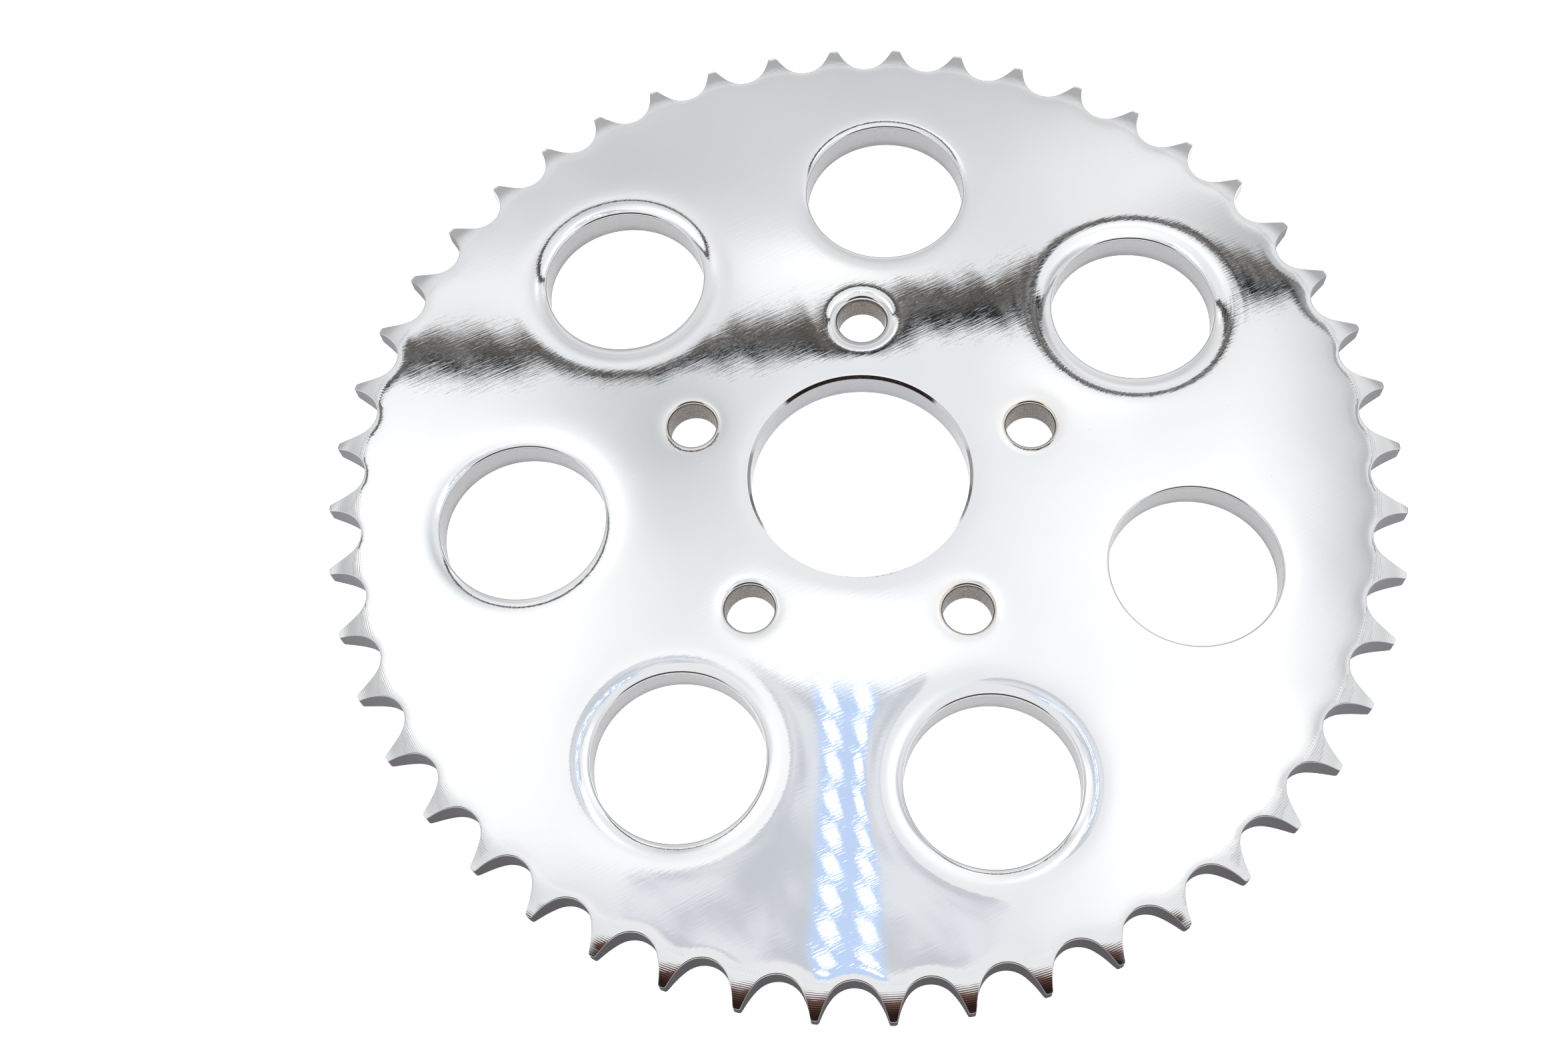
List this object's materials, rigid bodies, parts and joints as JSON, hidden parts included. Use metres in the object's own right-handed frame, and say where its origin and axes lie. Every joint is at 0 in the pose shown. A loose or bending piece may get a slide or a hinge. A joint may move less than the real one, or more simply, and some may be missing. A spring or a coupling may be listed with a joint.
{
  "type": "motorcycle rear sprocket",
  "caption": "Flat round steel rear sprocket for a motorcycle's roller chain, chrome plated, with a centre bore, a bolt circle and a ring of round lightening holes.",
  "frame": {"origin": "centre of the bore on the flat back face, which is also the bottom centre of the bounding box", "axes": "+Z along the bore's axis and out of the polished front face, +Y towards the index bolt hole"},
  "size_m": [0.2466, 0.2466, 0.0079],
  "materials": {
    "chrome_plate": "mirror-buffed chrome plate on steel, satin in the holes and on the tooth flanks"
  },
  "bodies": {
    "root": {"sprocket": "chrome_plate"}
  },
  "joints": []
}
